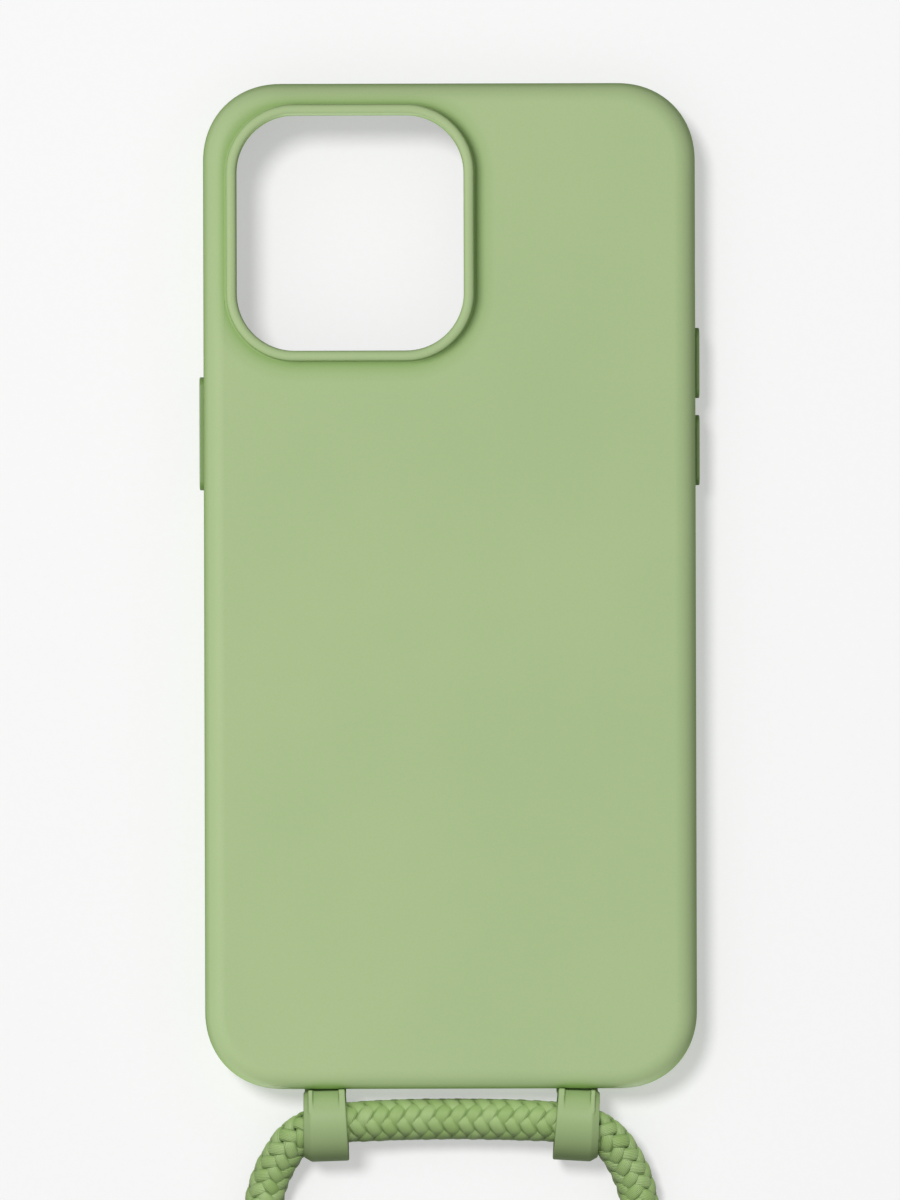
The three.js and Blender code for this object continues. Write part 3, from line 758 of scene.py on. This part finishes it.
def braided_cord(name, points, pinches, detailed, seed, fullness=1.0):
    """Eight strands, four each way, each over one and under one of the others."""
    path = catmull_rom(points)
    run = lengths_along(path)
    at = stations(run[-1], detailed)
    centre = np.column_stack([np.interp(at, run, path[:, axis]) for axis in range(3)])
    along, side, up = frames_along(centre)
    squeeze = np.full(len(at), fullness)
    for spot in pinches:
        squeeze -= PINCH * np.exp(-(((at - spot) / PINCH_REACH) ** 2))
    random = np.random.default_rng(seed)
    sides = len(STRAND_SECTION)
    across = STRAND_SECTION[:, 0] * STRAND_HALF_WIDTH
    deep = STRAND_SECTION[:, 1] * STRAND_HALF_DEPTH - across ** 2 / (2 * STRAND_BEND)
    points_out, faces, uv, tint, depth = [], [], [], [], []
    for way in (1, -1):
        for strand in range(STRANDS_EACH_WAY):
            base = sum(len(block) for block in points_out)
            angle = way * 2 * math.pi * (at / HELIX_PITCH - strand / STRANDS_EACH_WAY)
            wave = way * np.tanh(BRAID_SQUARENESS * np.cos(STRANDS_EACH_WAY * angle))
            angle = angle + BRAID_TURN
            sway = np.interp(at, np.arange(0, run[-1] + 6, 3.0), random.normal(0, 0.02, int(run[-1] / 3) + 3))
            radius = (BRAID_MEAN + BRAID_WAVE * wave + sway) * squeeze
            outward = np.cos(angle)[:, None] * side + np.sin(angle)[:, None] * up
            middle = centre + radius[:, None] * outward
            tangent = np.gradient(middle, axis=0)
            tangent /= np.linalg.norm(tangent, axis=1)[:, None]
            wide = np.cross(tangent, outward)
            wide /= np.linalg.norm(wide, axis=1)[:, None]
            lifted = np.cross(wide, tangent)
            block = (
                middle[:, None, :]
                + across[None, :, None] * wide[:, None, :] * squeeze[:, None, None]
                + deep[None, :, None] * lifted[:, None, :] * squeeze[:, None, None]
            )
            points_out.append(block.reshape(-1, 3))
            faces += loft_faces(len(at), sides, base=base)
            width_place = np.tile(across / STRAND_HALF_WIDTH * 0.5 + 0.5, len(at))
            uv.append(np.column_stack([width_place, np.repeat(at / 10.0, sides)]))
            shade = 0.25 + 0.5 * random.random()
            drift_at = np.arange(0, run[-1] + 10, 5.0)
            drift = np.interp(at, drift_at, random.normal(0, 0.16, int(run[-1] / 5) + 3))
            tint.append(np.repeat(np.clip(shade + drift, 0, 1), sides))
            # How high each point stands above the cord's centre; the braid material paints shade where this
            # runs low.
            height = radius[:, None] / squeeze[:, None] + deep[None, :]
            depth.append(np.clip((height - 1.6) / (CORD_RADIUS - 1.6), 0, 1).ravel())
    obj = make_mesh(name, np.vstack(points_out), faces, uv=np.vstack(uv))
    for label, values in (("tint", tint), ("depth", depth)):
        attribute = obj.data.attributes.new(label, "FLOAT", "POINT")
        attribute.data.foreach_set("value", np.concatenate(values).astype(np.float32))
    path_m = [tuple(point * MM) for point in centre[::4]] + [tuple(centre[-1] * MM)]
    return obj, path_m, run[-1] * MM


# ---------------------------------------------------------------- the case's shells

CASE_SIDES = (14, 30)
CASE_CORNER_STEPS = 20
SQUIRCLE = 2.12


def case_ring(inset, z):
    """The case's outline moved inwards by inset, at one height."""
    radius = max(CASE_CORNER - inset, 0.5)
    half = CASE_HALF[:2] - inset
    flat = outline(*half, radius, CASE_CENTRE[:2], CASE_CORNER_STEPS, CASE_SIDES, SQUIRCLE)
    return at_height(flat, z)


def window_ring(margin, z):
    """The camera window's outline moved outwards by margin, at one height."""
    flat = outline(
        WINDOW_HALF[0] + margin, WINDOW_HALF[1] + margin, WINDOW_CORNER + margin, WINDOW_CENTRE, 20, (12, 12)
    )
    return at_height(flat, z)


def quarter(steps, power=2.0):
    """(sine, cosine) pairs of a quarter turn, ends included, on a superellipse of that power."""
    pairs = []
    for step in range(steps + 1):
        angle = step / steps * math.pi / 2
        s, c = math.sin(angle), math.cos(angle)
        pairs.append((s ** (2 / power), c ** (2 / power)))
    return pairs


def tray(name, outside, inside_levels, window_levels):
    """A shell from three lists of (inset or margin, z): down the outside, up the inside, up the window."""
    case_rings = [case_ring(inset, z) for inset, z in outside + inside_levels]
    window_rings = [window_ring(margin, z) for margin, z in window_levels]
    last = len(case_rings) - 1
    top = len(window_rings) - 1
    return plate_with_holes(name, [case_rings, window_rings], [[(0, 0), (1, top)], [(0, last), (1, 0)]])


def skin_levels():
    """The shell's profile: crown, wall, front edge, lip, cavity."""
    crown = [(CROWN * (1 - s), BACK_Z - CROWN * (1 - c)) for s, c in quarter(16, 2.1)]
    front = [(FRONT_EDGE * (1 - c), FRONT_EDGE * (1 - s)) for s, c in quarter(8)]
    lip_inset = SKIN_WALL + LIP_REACH
    soft = LIP_SOFT
    lip_low = [(lip_inset - soft * (1 - s), soft * (1 - c)) for s, c in quarter(4)]
    lip_high = [(lip_inset - soft * (1 - c), LIP_HEIGHT - soft * (1 - s)) for s, c in quarter(4)]
    ceiling = BACK_Z - SKIN_BACK
    inner = CROWN - SKIN_WALL
    cavity = [(SKIN_WALL + inner * (1 - c), ceiling - inner * (1 - s)) for s, c in quarter(8)]
    outside = crown + [(0.0, WALL_MIDDLE)] + front + lip_low + lip_high
    inside = [(SKIN_WALL, LIP_HEIGHT)] + cavity
    return outside, inside


def bezel_levels():
    """The camera window's profile: up its inside, over the bezel and down to the back."""
    ceiling = BACK_Z - SKIN_BACK
    crest = BACK_Z + BEZEL_HEIGHT
    half = BEZEL_WIDTH / 2
    drop = 0.72
    fillet = 0.35
    levels = [(0.25, ceiling), (0.07, ceiling + 0.07), (0.0, ceiling + 0.25), (0.0, BACK_Z)]
    levels += [(half * (1 - c), crest - drop * (1 - s)) for s, c in quarter(8, 2.2)]
    levels += [(BEZEL_WIDTH - half * (1 - s), crest - drop * (1 - c)) for s, c in quarter(8, 2.2)][1:]
    levels += [(BEZEL_WIDTH + fillet * (1 - c), BACK_Z + fillet * (1 - s)) for s, c in quarter(6)]
    return levels


# Each wall's outward normal and the long axis of what goes through it.
BOTTOM_WALL = ((0, -1, 0), (1, 0, 0))
SIDE_WALLS = {side: ((side, 0, 0), (0, 1, 0)) for side in (-1, 1)}


def slot_solid(wall, centre, length, height, levels, radius=None):
    """A solid through a wall: its outline grows by each level's growth, out along the wall's normal."""
    normal, long_axis = np.array(wall, float)
    radius = height / 2 - ROUND_END if radius is None else radius
    rings = []
    for offset, growth in levels:
        grown = outline(length / 2 + growth, height / 2 + growth, radius + growth, (0, 0), 8, (4, 2))
        ring = np.array(centre, float) + grown[:, :1] * long_axis + grown[:, 1:] * np.array([0, 0, 1.0])
        rings.append(ring + normal * offset)
    return loft("cutter", rings)


def rim(soft):
    """Levels that round a slot's outer rim by soft, listed from outside the wall inwards."""
    curve = [(-soft * (1 - c), soft * (1 - s)) for s, c in quarter(5)]
    return [(CUTTER_REACH, soft * 1.02)] + curve


CUTTER_REACH = 1.5
SKIN_RIM = 0.28
CORE_RIM = 0.06
CORE_ROOM = 0.3
ROUND_END = 0.01
POCKET_WALL = 0.45

BUTTONS = {"volume_up": 1, "volume_down": 1, "side": -1}
BUTTON_CLEARANCE = 0.3
CAP_SOFT = 0.22
PLUNGER_EDGE = 0.12
FLANGE = 0.5
FLANGE_FACE = SIDE_X - SKIN_WALL + 0.35


def button_box(name):
    """The cap's centre and size without its flange: (y, z, length, height)."""
    low, high = node_box(f"{name}_button")
    middle = (low + high) / 2
    return middle[1], middle[2], high[1] - low[1] - 2 * FLANGE, high[2] - low[2] - 2 * FLANGE


def wall_cutters(core):
    """The cutters for everything that goes through the walls, for the skin or for the core."""
    cutters = []
    soft = rim(CORE_RIM if core else SKIN_RIM)
    extra = CORE_ROOM if core else 0.0
    skin_inner = -SKIN_WALL - CORE_GAP - CORE_WALL - CUTTER_REACH
    depth_of_surface = -(SKIN_WALL + CORE_GAP) if core else 0.0
    levels = [(offset + depth_of_surface, growth) for offset, growth in soft] + [(skin_inner, 0.0)]
    holes = [(SIDE_WALLS[1], (SIDE_X, SWITCH_SLOT["y"], SWITCH_SLOT["z"]), SWITCH_SLOT)]
    holes.append((BOTTOM_WALL, (0, BOTTOM_Y, PORT["z"]), PORT))
    for side in (-1, 1):
        holes.append((BOTTOM_WALL, (side * SPEAKER["x"], BOTTOM_Y, SPEAKER["z"]), SPEAKER))
    for wall, centre, hole in holes:
        size = (hole["length"] + 2 * extra, hole["height"] + 2 * extra)
        cutters.append(slot_solid(wall, centre, *size, levels))
    for name, side in BUTTONS.items():
        y, z, length, height = button_box(name)
        wide = FLANGE if core else 0.0
        grow = 2 * (BUTTON_CLEARANCE + wide)
        pocket = -(SKIN_WALL - POCKET_WALL)
        steps = levels if core else (
            [(o, g * 0.5) for o, g in soft] + [(pocket, 0.0), (pocket - 0.001, FLANGE), (skin_inner, FLANGE)]
        )
        centre = (side * SIDE_X, y, z)
        cutters.append(slot_solid(SIDE_WALLS[side], centre, length + grow, height + grow, steps))
    if not core:
        for side in (-1, 1):
            cutters += neck_cutters(side)
    return cutters


LOOP = {
    "x": 20.8, "y": -82.9, "z": 6.3, "width": 7.2, "radius": 6.1, "bore": 4.0, "mouth": 5.15, "taper": 0.006,
    "chamfer_width": 1.25, "chamfer_depth": 0.8, "wall_gap": 0.05, "rib_z": 10.6,
}
LOOP_LEAN = {-1: 1.8, 1: 3.4}
RIBS = {"outer": (0.85, 0.8), "inner": (0.05, 1.1)}
NECK = {"low": 3.4, "high": 7.9, "width": 6.8}
LOOP_VOXEL = 0.11
LOOP_SMOOTHING = 6
FOOT = {"low": 1.9, "high": 7.9, "width": 11.0, "depth": 0.4}
NECK_CLEARANCE = 0.3


def neck_cutters(side):
    """The slot for a loop's neck, and the pocket behind it for its foot."""
    solids = []
    for part, levels in (
        (NECK, rim(0.2) + [(-SKIN_WALL / 2 - 0.1, 0.0)]),
        (FOOT, [(-SKIN_WALL / 2, 0.0), (-SKIN_WALL - 0.6, 0.0)]),
    ):
        centre = (side * LOOP["x"], BOTTOM_Y, (part["low"] + part["high"]) / 2)
        size = (part["width"] + 2 * NECK_CLEARANCE, part["high"] - part["low"] + 2 * NECK_CLEARANCE)
        solids.append(slot_solid(BOTTOM_WALL, centre, *size, levels, radius=0.5))
    return solids


def make_shell():
    outside, inside = skin_levels()
    shell = tray("shell", outside, inside, bezel_levels())
    cut(shell, wall_cutters(core=False))
    crisp(shell)
    return place(shell, "case", "silicone", SILICONE, "silicone_shell")


def make_core():
    surface = SKIN_WALL + CORE_GAP
    top = BACK_Z - SKIN_BACK - CORE_GAP
    low = node_box("rigid_core")[0][2]
    outer = CROWN - surface
    inner = outer - CORE_WALL
    outside = [(surface + outer * (1 - s), top - outer * (1 - c)) for s, c in quarter(8)]
    outside += [(surface, low + 0.15), (surface + 0.15, low), (surface + CORE_WALL - 0.15, low)]
    inside = [(surface + CORE_WALL, low + 0.15)]
    inset, ceiling = surface + CORE_WALL, top - CORE_BACK
    inside += [(inset + inner * (1 - c), ceiling - inner * (1 - s)) for s, c in quarter(8)]
    window = [(0.6, top - CORE_BACK), (0.6, top)]
    core = tray("core", outside, inside, window)
    cut(core, wall_cutters(core=True))
    crisp(core)
    place(core, "case", "core_plastic", CORE_PLASTIC, "rigid_core")


def make_lining():
    low, high = node_box("microfibre_lining")
    inset = low[0] + CASE_HALF[0]
    soft = 0.1
    margin = 1.5

    def edge(at):
        return [(at + soft, low[2]), (at, low[2] + soft), (at, high[2] - soft), (at + soft, high[2])]

    lining = tray("lining", edge(inset)[::-1], [], edge(margin))
    crisp(lining, 60)
    place(lining, "case", "microfibre", MICROFIBRE, "microfibre_lining")


def make_buttons():
    """Each cap with its flange, and the plunger behind it."""
    for name, side in BUTTONS.items():
        y, z, length, height = button_box(name)
        low, high = node_box(f"{name}_button")
        face = high[0] if side > 0 else -low[0]
        soft = CAP_SOFT
        inner = SIDE_X - SKIN_WALL + 0.02
        levels = [(inner, FLANGE), (FLANGE_FACE, FLANGE), (FLANGE_FACE + 0.001, 0.0), (face - soft, 0.0)]
        levels += [(face - soft * (1 - s), -soft * (1 - c)) for s, c in quarter(6)][1:]
        cap = slot_solid(SIDE_WALLS[side], (0, y, z), length, height, levels)
        cap.name = f"{name}_cap"
        crisp(cap)
        body = "side_key" if name == "side" else name
        place(cap, body, "button_plastic", BUTTON_PLASTIC, f"{name}_button")
        low, high = node_box(f"{name}_plunger")
        size, middle = high - low, (low + high) / 2
        near, far = sorted((abs(low[0]), abs(high[0])))
        edge = PLUNGER_EDGE
        levels = [(near, -edge), (near + edge * 0.3, -edge * 0.3), (near + edge, 0.0), (far, 0.0)]
        plunger = slot_solid(SIDE_WALLS[side], (0, middle[1], middle[2]), size[1], size[2], levels)
        plunger.name = f"{name}_pusher"
        crisp(plunger)
        place(plunger, body, "core_plastic", CORE_PLASTIC, f"{name}_plunger")


# ---------------------------------------------------------------- the cord loops

def box_mesh(low, high):
    low, high = np.minimum(low, high), np.maximum(low, high)
    corners = [(x, y, z) for z in (low[2], high[2]) for x, y in (
        (low[0], low[1]), (high[0], low[1]), (high[0], high[1]), (low[0], high[1]))]
    faces = [(3, 2, 1, 0), (4, 5, 6, 7), (0, 1, 5, 4), (1, 2, 6, 5), (2, 3, 7, 6), (3, 0, 4, 7)]
    return make_mesh("block", corners, faces)


def loop_ring(side):
    """The ring round its own centre, its axis along X, with a flared bore and a chamfered outer rim."""
    half, radius, bore, mouth = LOOP["width"] / 2, LOOP["radius"], LOOP["bore"], LOOP["mouth"]
    profile = [
        (-half, radius - 0.1), (-half + 0.1, radius),
        (half - LOOP["chamfer_width"], radius), (half, radius - LOOP["chamfer_depth"]),
        (half, mouth + 0.1), (half - 0.15, mouth - 0.12), (1.6, bore + 0.05), (0.0, bore),
        (-1.6, bore + 0.05), (-half + 0.15, mouth - 0.12), (-half, mouth + 0.1),
    ]
    turns = 96
    rings = []
    for turn in range(turns):
        angle = turn / turns * 2 * math.pi
        rings.append(np.array([(side * x, r * math.cos(angle), r * math.sin(angle)) for x, r in profile]))
    return loft("ring", rings, closed=True)


def loop_rib(side, edge, bore_free):
    """A rib from the ring to the case's wall, on the ring's outer or inner edge."""
    inset, width = RIBS["outer" if edge == side else "inner"]
    outer = edge * (LOOP["width"] / 2 - inset)
    low, high = sorted((outer, outer - edge * width))
    radius = LOOP["radius"]
    wall = BOTTOM_Y - LOOP["wall_gap"] - LOOP["y"]
    rise = LOOP["rib_z"] - LOOP["z"]
    tangent = math.atan2(wall, rise) - math.acos(radius / math.hypot(wall, rise))
    section = [
        (bore_free, math.sqrt(radius ** 2 - bore_free ** 2) - 0.1),
        (radius * math.sin(tangent), radius * math.cos(tangent)), (wall, rise),
        (wall, NECK["low"] - LOOP["z"]), (bore_free, NECK["low"] - LOOP["z"]),
    ]
    return loft("rib", [np.array([(x, a, b) for a, b in section]) for x in (low, high)])


def make_loop(name, side):
    """A ring with two ribs on a neck, melted into one soft moulding, with a foot behind the wall."""
    y, z = LOOP["y"], LOOP["z"]
    neck_start = LOOP["mouth"] - 0.1
    parts = [loop_ring(side), loop_rib(side, -1, neck_start - 0.1), loop_rib(side, 1, neck_start - 0.1)]
    lean = math.radians(-side * LOOP_LEAN[side])
    c, s = math.cos(lean), math.sin(lean)
    for part in parts:
        turned = np.array([vertex.co[:] for vertex in part.data.vertices])
        turned[:, 0] *= 1 - LOOP["taper"] * turned[:, 1] / MM
        turned[:, :2] = turned[:, :2] @ np.array([[c, s], [-s, c]])
        turned += np.array([side * LOOP["x"], y, z]) * MM
        part.data.vertices.foreach_set("co", turned.ravel())
    foot_back = BOTTOM_Y + SKIN_WALL / 2 + 0.05
    x = side * LOOP["x"]
    neck_half, foot_half = NECK["width"] / 2, FOOT["width"] / 2
    neck_back = foot_back + FOOT["depth"] / 2
    parts.append(box_mesh(
        (x - neck_half, y + neck_start, NECK["low"]), (x + neck_half, neck_back, NECK["high"])
    ))
    parts.append(box_mesh(
        (x - foot_half, foot_back, FOOT["low"]), (x + foot_half, foot_back + FOOT["depth"], FOOT["high"])
    ))
    loop = join(f"{name}_loop", parts)
    melt(loop, LOOP_VOXEL, LOOP_SMOOTHING)
    return place(loop, "case", "loop_silicone", LOOP_SILICONE, f"{name}_cord_loop")


# ---------------------------------------------------------------- what is on the cord

SLIDER = {"half_gap": 4.2, "bore": 3.6, "soft": 0.9, "flare": 0.45}
GRIP = {"depth": 0.22, "pitch": 2.1, "reach": 5.2, "fade": 0.6}
CAP = {"radius": 3.9, "length": 14.0, "mouth": 3.45, "dome": 1.6, "gap": 1.4}
GROOVE = {"places": (3.2, 5.4), "width": 0.9, "depth": 0.3}
TIE = {"thickness": 0.95, "corner": 3.0, "edge": 0.3, "flap_depth": 0.8}


def make_slider():
    """A waisted block with two bores and ribs for the fingers."""
    low, high = node_box("cord_slider")
    middle, half = (low + high) / 2, (high - low) / 2
    soft = SLIDER["soft"]
    spots = [(-half[1] + soft * (1 - c), soft * (1 - s)) for s, c in quarter(6)]
    for step in range(1, 40):
        along = -half[1] + soft + (2 * half[1] - 2 * soft) * step / 40
        rib = GRIP["depth"] * (0.5 - 0.5 * math.cos(along * 2 * math.pi / GRIP["pitch"]))
        spots.append((along, rib * smoothstep((GRIP["reach"] - abs(along)) / GRIP["fade"])))
    spots += [(half[1] - soft * (1 - c), soft * (1 - s)) for s, c in reversed(quarter(6))]
    body = []
    for along, inset in spots:
        flat = outline(half[0] - inset, half[2] - inset, half[2] - inset - 0.01, (0, 0), 16, (12, 1))
        body.append(np.column_stack([flat[:, 0], np.full(len(flat), along), flat[:, 1]]))
    families = [body]
    bore, flare = SLIDER["bore"], SLIDER["flare"]
    for side in (-1, 1):
        rings = []
        levels = [(-half[1], flare), (-half[1] + 0.15, flare * 0.5), (-half[1] + 0.5, 0.0)]
        levels += [(-offset, growth) for offset, growth in reversed(levels)]
        for along, growth in levels:
            flat = outline(bore + growth, bore + growth, bore + growth, (side * SLIDER["half_gap"], 0), 12)
            rings.append(np.column_stack([flat[:, 0], np.full(len(flat), along), flat[:, 1]]))
        families.append(rings)
    top = len(body) - 1
    end = len(families[1]) - 1
    slider = plate_with_holes(
        "slider", families, [[(0, 0), (1, 0), (2, 0)], [(0, top), (1, end), (2, end)]]
    )
    for vertex in slider.data.vertices:
        vertex.co += Vector(middle) * MM
    crisp(slider, 50)
    return place(slider, "slider", "slider_plastic", SLIDER_PLASTIC, "cord_slider")


def make_end_cap(name, side):
    """A crimped cap: a hollow mouth, two grooves and a domed end, lying along the top layer of the coil."""
    radius, length = CAP["radius"], CAP["length"]
    dome = CAP["dome"]
    mouth = CAP["mouth"]
    profile = [(mouth - 1.5, 2.5), (mouth, 2.4), (mouth, 0.35), (mouth + 0.15, 0.05)]
    profile += [(radius - 0.25, 0.0), (radius - 0.07, 0.07), (radius, 0.25)]
    for groove in GROOVE["places"]:
        for step in range(9):
            along = groove + GROOVE["width"] * (step / 8 - 0.5)
            profile.append((radius - GROOVE["depth"] * math.sin(math.pi * step / 8), along))
    profile += [(radius - dome * (1 - c), length - dome * (1 - s)) for s, c in quarter(8, 2.3)]
    profile += [((radius - dome) * (1 - step / 3), length) for step in range(1, 3)]
    turns = 64
    whole_angle = COIL_TURNS * 2 * math.pi
    coil_radius = COIL_RADIUS + side * (LAYER_PITCH / 2 + END_SPREAD)
    low, high = node_box(f"{name}_end_cap")
    z = (low[2] + high[2]) / 2
    half_angle = (length / 2 + CAP["gap"]) / coil_radius
    angle = COIL_JOIN - whole_angle - half_angle
    middle = np.array([coil_radius * math.cos(angle), COIL_Y + coil_radius * math.sin(angle), z])
    ahead = np.array([math.sin(angle), -math.cos(angle), 0.0])
    across = np.array([math.cos(angle), math.sin(angle), 0.0])
    up = np.array([0.0, 0.0, 1.0])
    start = middle - ahead * length / 2
    rings = []
    for distance, along in profile:
        ring = [
            start + ahead * along + distance * (math.cos(a) * across + math.sin(a) * up)
            for a in np.arange(turns) / turns * 2 * math.pi
        ]
        rings.append(np.array(ring))
    cap = loft(f"{name}_cap", rings)
    crisp(cap, 50)
    return place(cap, "case", "cap_plastic", CAP_PLASTIC, f"{name}_end_cap")


def make_tie():
    """A hook-and-loop strap: a band round the coil with its free end pressed down over the start."""
    low, high = node_box("cord_tie")
    middle, half = (low + high) / 2, (high - low) / 2
    thickness, corner, edge = TIE["thickness"], TIE["corner"], TIE["edge"]
    points, faces, uv = [], [], []

    def strip(line, width, depth, closed):
        """A ribbon with round edges along a line of (y, z, normal_y, normal_z)."""
        section = []
        for quarter_turn, (sx, sz) in enumerate(CORNER_SIGNS):
            for step in range(4):
                angle = (quarter_turn + step / 3) * math.pi / 2
                section.append((
                    sx * (width / 2 - edge) + edge * math.cos(angle),
                    sz * (depth / 2 - edge) + edge * math.sin(angle),
                ))
        base = len(points)
        travelled = 0.0
        for i, (y, z, ny, nz) in enumerate(line):
            if i:
                travelled += math.hypot(y - line[i - 1][0], z - line[i - 1][1])
            for across, deep in section:
                points.append((middle[0] + across, y + ny * deep, z + nz * deep))
                uv.append((across + 4, travelled))
        faces.extend(loft_faces(len(line), len(section), closed, base))

    inset = thickness / 2
    loop = outline(half[1] - inset, half[2] - inset, corner - inset, middle[1:], 10, (24, 30))
    ahead = np.roll(loop, -1, axis=0) - np.roll(loop, 1, axis=0)
    ahead /= np.linalg.norm(ahead, axis=1)[:, None]
    band = [(p[0], p[1], t[1], -t[0]) for p, t in zip(loop, ahead)]
    strip(band, 2 * half[0], thickness, True)
    start = int(len(loop) * 0.13)
    flap = [
        (y + ny * (thickness + 0.02) * 0.93, z + nz * (thickness + 0.02) * 0.93, ny, nz)
        for y, z, ny, nz in band[start:start + int(len(loop) * 0.33)]
    ]
    strip(flap, 2 * half[0] - 0.4, TIE["flap_depth"], False)
    tie = make_mesh("tie", points, faces, uv=uv)
    fix_normals(tie)
    return place(tie, "case", "strap_fabric", STRAP, "cord_tie")


def make_cords():
    """The bridge between the loops and the two halves, each to its end cap in the coil."""
    bridge, path, length = braided_cord(
        "cord_bridge_braid", BRIDGE, BRIDGE_PINCHES, [BRIDGE_SEEN], BRIDGE_SEED, BRIDGE_FULLNESS
    )
    place(bridge, "case", "braid", BRAID, "cord_bridge")
    print("bridge", round(length, 4))
    slider = make_slider()
    tie = make_tie()
    pieces = [bridge, slider, tie]
    for name, side, lead_in, on_it in (
        ("right", 1, RIGHT_LEAD_IN, [slider, tie]), ("left", -1, LEFT_LEAD_IN, []),
    ):
        run = [(side * x, y, z) for x, y, z in RUN]
        cap = make_end_cap(name, side)
        points = run + lead_in + coil_points(side)
        obj, path, length = braided_cord(f"cord_{name}_braid", points, (0.0,), [HALF_SEEN], HALF_SEED + side)
        nodes = [f"cord_{name}_run"] + (["cord_coil"] if side > 0 else [])
        place(obj, "case", "braid", BRAID, *nodes)
        print(name, round(length, 4))
        pieces += [cap, obj]
    return pieces


strap = make_cords()
SHELL = make_shell()
make_core()
make_lining()
make_buttons()
strap += [make_loop("left", -1), make_loop("right", 1)]
light_pieces(FLOOR, SHELL, strap)

bpy.context.view_layer.update()
